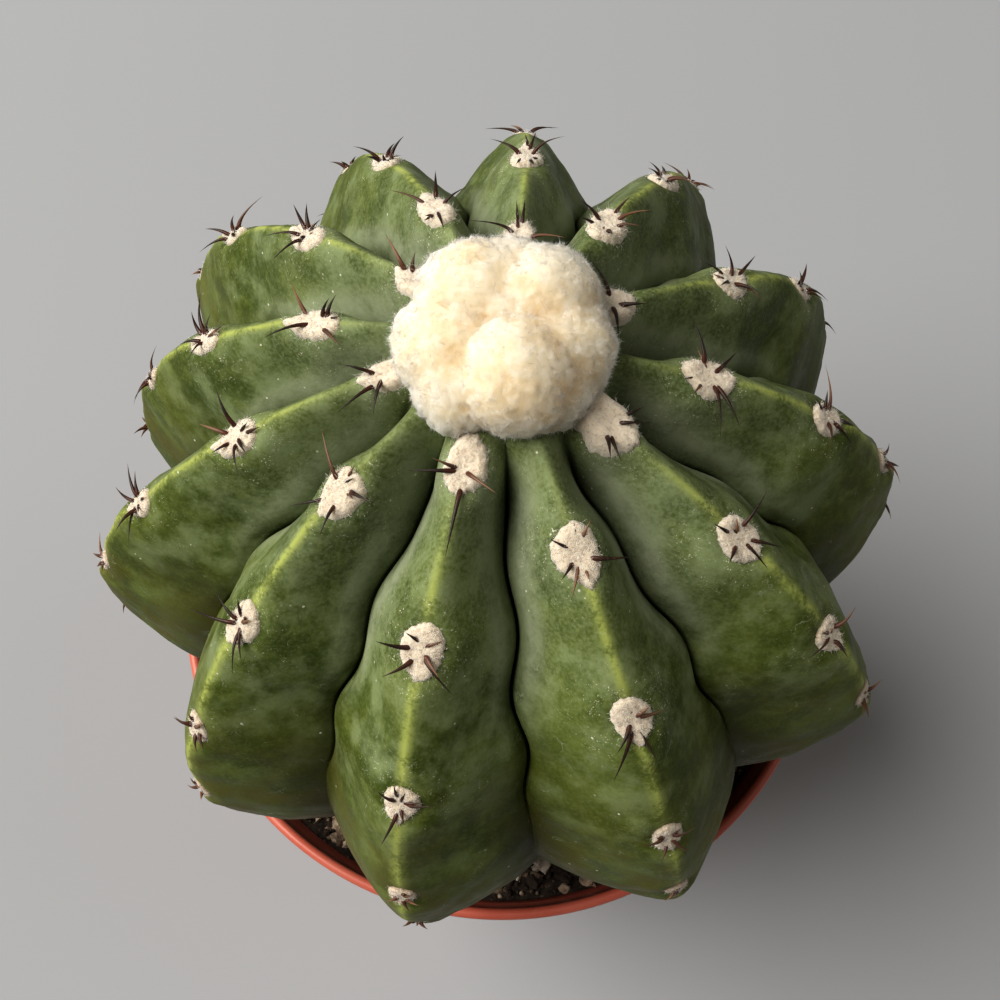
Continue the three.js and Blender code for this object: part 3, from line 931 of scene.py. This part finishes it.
def woolFinish():
    look = Finish("cream wool")
    patch = look.noise(5, 3)
    colour = look.mix(look.ramp(patch, 0.42, 0.6), (0.76, 0.67, 0.525), (0.72, 0.59, 0.405))
    # painted shade: the dips between the wool's lumps are coloured a darker tan
    colour = look.mix(look.ramp(look.value("hollowShade"), 0, 1, 0, 0.55), colour, (0.67, 0.53, 0.32))
    normal = look.bump(look.noise(0.35, 5, 0.7), 0.4, 0.2)
    return look.done(colour, 0.95, normal, **{
        "Specular IOR Level": 0.1, "Sheen Weight": 0.2, "Subsurface Weight": 1,
        "Subsurface Radius": (1, 0.94, 0.85), "Subsurface Scale": 14 * mm})


def woolFibreFinish():
    look = Finish("cream wool fibres")
    colour = look.mix(look.ramp(look.noise(4.5, 3), 0.42, 0.6), (0.81, 0.73, 0.59), (0.77, 0.65, 0.46))
    colour = look.mix(look.ramp(look.value("tone"), 0.5, 0.95, 0, 0.45), colour, (0.60, 0.46, 0.28))
    colour = look.mix(look.ramp(look.value("tone"), 0.955, 0.975, 0, 0.8), colour, (0.46, 0.30, 0.13))
    colour = look.mix(look.ramp(look.value("tone"), 0.997, 0.998, 0, 0.9), colour, (0.06, 0.03, 0.02))
    return look.done(colour, 0.9, **{
        "Specular IOR Level": 0.1, "Sheen Weight": 0.15, "Subsurface Weight": 1,
        "Subsurface Radius": (1, 0.94, 0.85), "Subsurface Scale": 4 * mm})


wool = makeCap()
finishPiece(wool, woolFinish(), "cap_wool", "cephalium")
fuzz = woolFibreFinish()
for name, kind in capFibres.items():
    finishPiece(makeCapFibres(wool, name, kind), fuzz, "cap_wool", "cephalium")
print("wool cap made")


# Pot: turned from its wall's outline, with drain holes

pot = {
    "height": rimTop,
    "rim": potReach,
    "foot": 45,
    "footRound": 2.2,
    "wall": 1.5,
    "wallRows": 12,
    "band": 17,
    "bandTaper": 2.4,  # how much narrower the band is at its foot than at the rim
    "bandRows": 5,
    "bandRound": 0.6,
    "step": 2.6,
    "lipRound": 1.05,
    "sides": 192,
    "drains": 8,
    "drainRadius": 4,
    "drainSides": 32,
    "drainCircle": 33,
}


def roundCorner(centre, radius, start, end, steps=5):
    turn = np.radians(np.linspace(start, end, steps))
    return [(centre[0] + radius * math.cos(a), centre[1] + radius * math.sin(a)) for a in turn]


def potOutline():
    # radius and height, from the middle of the underside round the rim to the middle of the floor
    h, rim, foot, wall = pot["height"], pot["rim"], pot["foot"], pot["wall"]
    rows, bandRows, lip, corner = pot["wallRows"], pot["bandRows"], pot["lipRound"], pot["footRound"]
    bandFoot = h - pot["band"]
    bandBottom = rim - pot["bandTaper"]
    wallTop = bandBottom - pot["step"]
    heel = 2.4
    outline = [(0, 0), (22, 0), (foot - heel, 0)]
    outline += roundCorner((foot - corner, corner), corner, -80, 0)
    outline += [(foot + (wallTop - foot) * k / rows, heel + (bandFoot - heel) * k / rows)
                for k in range(1, rows)]
    outline += [(wallTop, bandFoot - 0.4)]
    outline += roundCorner((wallTop + 0.5, bandFoot + 0.3), 0.4, -150, -95, 3)
    outline += roundCorner((bandBottom - pot["bandRound"], bandFoot + 0.8), pot["bandRound"], -85, 0, 4)
    outline += [(bandBottom + (rim - 0.7 - bandBottom) * k / bandRows,
                 bandFoot + 1 + (pot["band"] - 4.2) * k / bandRows) for k in range(1, bandRows + 1)]
    outline += roundCorner((rim - lip, h - lip), lip, -30, 180, 11)
    outline += [(rim - 2 * lip, h - 2.2), (bandBottom - wall, bandFoot + 3.2)]
    outline += [(wallTop - wall, bandFoot + 1.4), (foot - wall, wall + 1.2)]
    outline += [(foot - 2 * wall, wall), (0, wall)]
    return outline


def turnedPiece(name, outline, sides):
    ring = np.array(outline[1:-1])
    turn = np.linspace(0, 2 * np.pi, sides, endpoint=False)
    points = [ring[:, :1] * np.cos(turn), ring[:, :1] * np.sin(turn), ring[:, 1:] + 0 * turn]
    faces = gridFaces(len(ring), sides)[:, ::-1]
    count = len(ring) * sides
    last = (len(ring) - 1) * sides
    following = (np.arange(sides) + 1) % sides
    fans = [[count, b, a] for a, b in enumerate(following)]
    fans += [[count + 1, last + a, last + b] for a, b in enumerate(following)]
    points = np.stack(points, -1).reshape(-1, 3)
    points = np.vstack([points, [0, 0, outline[0][1]], [0, 0, outline[-1][1]]])
    return makeObject(name, points, faces.tolist() + fans)


def makePot():
    shell = turnedPiece("nursery_pot", potOutline(), pot["sides"])
    points, faces = [], []
    sides = pot["drainSides"]
    around = np.linspace(0, 2 * np.pi, sides, endpoint=False)
    circle = np.stack([np.cos(around), np.sin(around), 0 * around], -1) * pot["drainRadius"]
    for k in range(pot["drains"]):
        turn = 2 * math.pi * k / pot["drains"]
        ring = circle + np.array([math.cos(turn), math.sin(turn), 0]) * pot["drainCircle"]
        low = 2 * sides * k
        high = low + sides
        points += [ring - [0, 0, 3], ring + [0, 0, 4]]
        faces += [list(range(high - 1, low - 1, -1)), list(range(high, high + sides))]
        faces += [[low + a, low + (a + 1) % sides, high + (a + 1) % sides, high + a] for a in range(sides)]
    drill = makeObject("drain_drill", np.vstack(points), faces)
    cut = shell.modifiers.new("drain holes", "BOOLEAN")
    cut.operation = "DIFFERENCE"
    cut.object = drill
    bpy.context.view_layer.objects.active = shell
    bpy.ops.object.modifier_apply(modifier=cut.name)
    bpy.data.objects.remove(drill)
    return shell


def potFinish():
    look = Finish("terracotta plastic")
    broad = look.noise(30, 3)
    colour = look.mix(look.ramp(broad, 0.35, 0.65), (0.43, 0.088, 0.054), (0.49, 0.125, 0.080))
    dust = look.ramp(look.noise(6, 6, 0.7), 0.54, 0.76, 0, 0.4)
    colour = look.mix(dust, colour, (0.50, 0.24, 0.16))
    scuffs = look.ramp(look.noise(2.5, 5, 0.8, look.stretched((1, 1, 12))), 0.64, 0.72, 0, 0.4)
    colour = look.mix(scuffs, colour, (0.62, 0.27, 0.2))
    normal = look.bump(look.noise(0.8, 3), 0.2, 0.08)
    roughness = look.ramp(look.noise(8, 4), 0.3, 0.7, 0.34, 0.5)
    return look.done(colour, roughness, normal, **{"Specular IOR Level": 0.5})


shell = makePot()
finishPiece(shell, potFinish(), "pot_plastic", "pot")
print("pot turned")


# Soil: a rough bed with loose grains of several sizes on it

soil = {
    "inside": potReach - 3.8,
    "gap": 0.35,  # clear of the pot
    "rootGap": 0.4,
    "rows": 46,
    "columns": 400,
    "relief": 0.8,
}

grains = {
    "soil_grit": {"count": 620, "radii": (0.9, 2.6), "subdivisions": 2, "seed": 41},
    "soil_crumbs": {"count": 3200, "radii": (0.35, 1.0), "subdivisions": 1, "seed": 42},
}


def soilHeight(x, y):
    flat = np.stack([x, y, 0 * x], -1).reshape(-1, 3)
    rough = fieldNoise(flat, 6, 31) + 0.6 * fieldNoise(flat, 2.2, 32) + 0.35 * fieldNoise(flat, 0.9, 33)
    return soilTop + soil["relief"] * rough.reshape(x.shape)


def makeSoil():
    # an outline from the pot's floor up its wall, over the top and down the root's hole, turned round
    bandFoot = rimTop - pot["band"]
    wallTop = pot["rim"] - pot["bandTaper"] - pot["step"] - pot["wall"] - soil["gap"]
    low = pot["wall"] + soil["gap"]
    side = [(pot["foot"] - 3.4, low), (pot["foot"] - 1.9, low + 1), (wallTop, bandFoot + 1.7),
            (soil["inside"] - 0.6, bandFoot + 3.2)]
    top = [(r, soilTop) for r in np.linspace(soil["inside"], plant["footRadius"] + 0.5, soil["rows"])]
    gap = soil["rootGap"]
    hole = [(r + gap, soilTop - depth - gap) for r, depth in plant["rootPoints"]]
    outline = np.array([*side, *top, *hole])
    turn = np.linspace(0, 2 * np.pi, soil["columns"], endpoint=False)
    x, y = outline[:, :1] * np.cos(turn), outline[:, :1] * np.sin(turn)
    z = outline[:, 1:] + 0 * x
    onTop = slice(len(side), len(side) + len(top))
    z[onTop] = soilHeight(x[onTop], y[onTop])
    points = np.stack([x, y, z], -1).reshape(-1, 3)
    faces = gridFaces(len(outline), soil["columns"])
    holeFoot = soilTop - plant["rootDepth"] - gap
    points, faces = closeEnds(points, faces, len(outline), soil["columns"], [0, 0, low], [0, 0, holeFoot])
    return makeObject("soil_bed", points, [face[::-1] for face in faces])


def grainShape(subdivisions):
    ball = bmesh.new()
    bmesh.ops.create_icosphere(ball, subdivisions=subdivisions, radius=1)
    points = np.array([v.co[:] for v in ball.verts])
    faces = np.array([[v.index for v in f.verts] for f in ball.faces])
    ball.free()
    return points, faces


def makeGrains(name, kind):
    draw = np.random.default_rng(kind["seed"])
    count = kind["count"]
    least, most = kind["radii"]
    shape, shapeFaces = grainShape(kind["subdivisions"])
    radius = np.sqrt(draw.uniform((plant["footRadius"] - 3) ** 2, (soil["inside"] - 0.8) ** 2, count))
    turn = draw.uniform(0, 2 * np.pi, count)
    size = draw.uniform(0, 1, count) ** 2.2 * (most - least) + least
    radius = np.minimum(radius, soil["inside"] - size)
    x, y = radius * np.cos(turn), radius * np.sin(turn)
    z = soilHeight(x, y) + size * draw.uniform(-0.1, 0.45, count)
    lumps = 1 + draw.normal(0, 0.17, (count, len(shape), 1))
    stretch = draw.uniform(0.65, 1.2, (count, 1, 3))
    spin = np.linalg.qr(draw.normal(size=(count, 3, 3)))[0]
    stones = (shape[None] * lumps * stretch * size[:, None, None]) @ spin
    stones = stones + np.stack([x, y, z], -1)[:, None, :]
    faces = (shapeFaces[None] + (np.arange(count) * len(shape))[:, None, None]).reshape(-1, 3)
    flip = np.repeat(np.linalg.det(spin) < 0, len(shapeFaces))
    faces[flip] = faces[flip][:, ::-1]
    loose = makeObject(name, stones.reshape(-1, 3), faces, smooth=False)
    setPointValue(loose, "tone", np.repeat(draw.random(count), len(shape)))
    return loose


def soilFinish():
    look = Finish("damp potting soil")
    damp = look.ramp(look.noise(2.4, 5, 0.7), 0.35, 0.65)
    colour = look.mix(damp, (0.012, 0.009, 0.007), (0.05, 0.035, 0.024))
    colour = look.mix(look.ramp(look.cells(1.1), 0.25, 0.12, 0, 0.6), colour, (0.16, 0.12, 0.085))
    normal = look.bump(look.noise(0.7, 5, 0.75), 1, 0.5)
    return look.done(colour, 0.95, normal, **{"Specular IOR Level": 0.2})


def grainFinish():
    look = Finish("soil grains")
    tone = look.value("tone")
    colour = look.mix(look.ramp(tone, 0.3, 0.7), (0.028, 0.018, 0.012), (0.18, 0.125, 0.082))
    colour = look.mix(look.ramp(tone, 0.68, 0.88), colour, (0.38, 0.29, 0.21))
    colour = look.mix(look.ramp(tone, 0.93, 0.96), colour, (0.55, 0.48, 0.40))
    colour = look.mix(look.ramp(look.noise(0.8, 4), 0.4, 0.7, 0, 0.5), colour, (0.05, 0.035, 0.025))
    normal = look.bump(look.noise(0.35, 4), 0.6, 0.2)
    return look.done(colour, 0.88, normal, **{"Specular IOR Level": 0.25})


bed = makeSoil()
finishPiece(bed, soilFinish(), "potting_soil", "soil")
grit = grainFinish()
for name, kind in grains.items():
    finishPiece(makeGrains(name, kind), grit, "potting_soil", "soil")
print("soil filled")
